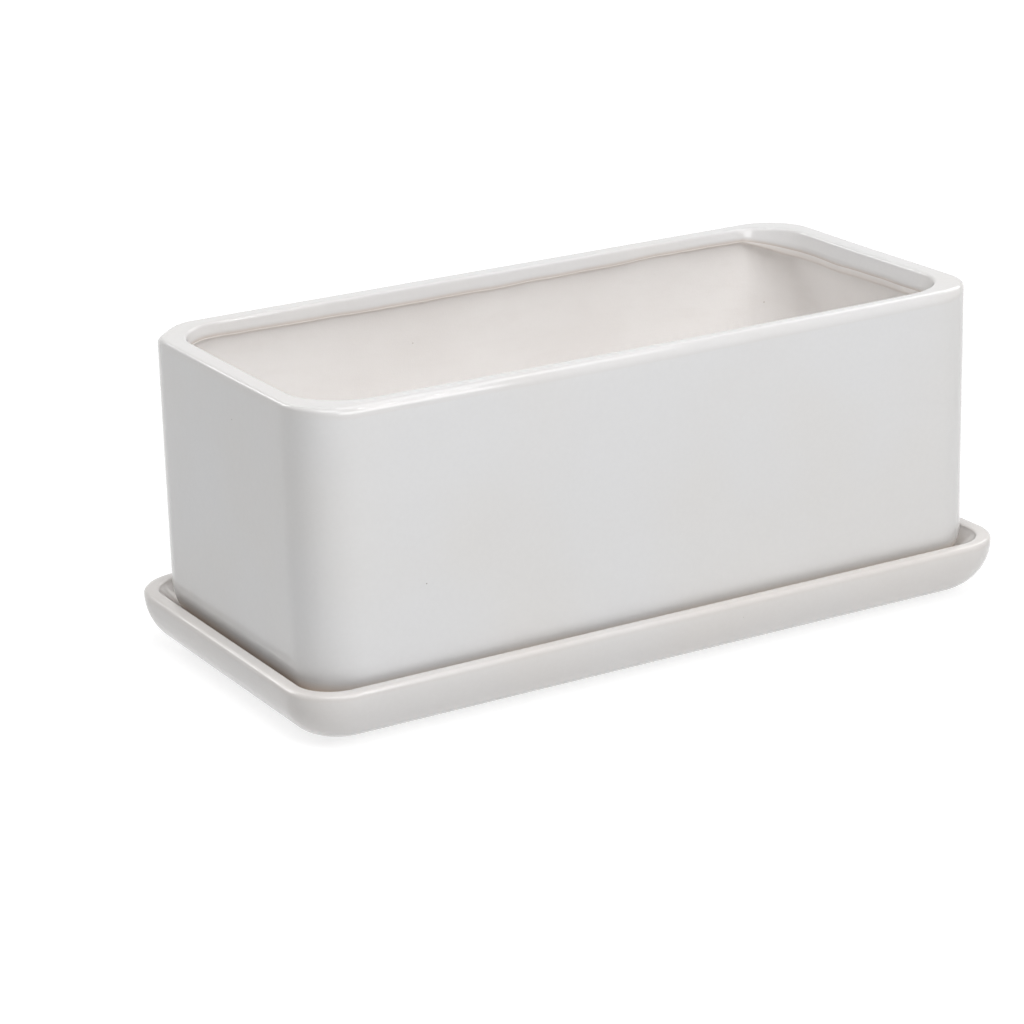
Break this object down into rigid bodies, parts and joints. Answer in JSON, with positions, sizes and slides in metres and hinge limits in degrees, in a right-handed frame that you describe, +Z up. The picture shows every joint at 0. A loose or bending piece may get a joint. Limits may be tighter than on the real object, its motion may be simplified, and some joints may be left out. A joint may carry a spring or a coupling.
{
  "type": "herb planter",
  "caption": "Rectangular glazed ceramic herb trough with rounded corners and drainage holes, standing in a matching shallow lift-off drip saucer.",
  "frame": {"origin": "middle of the saucer's underside, on the surface that the planter stands on", "axes": "+X along the trough, +Y towards its back, +Z up out of its mouth"},
  "size_m": [0.2666, 0.1334, 0.108],
  "materials": {
    "pot_glaze": "glossy white glaze outside and round the rim; bare matt white clay inside and on the foot ring",
    "saucer_glaze": "glossy white glaze; bare matt white clay on the foot ring"
  },
  "bodies": {
    "saucer": {"drip_saucer": "saucer_glaze"},
    "pot": {"planter_pot": "pot_glaze"}
  },
  "joints": [
    {"name": "pot_lift", "type": "slide", "parent": "saucer", "child": "pot", "axis": [0, 0, 1], "range_m": [0, 0.12]}
  ]
}
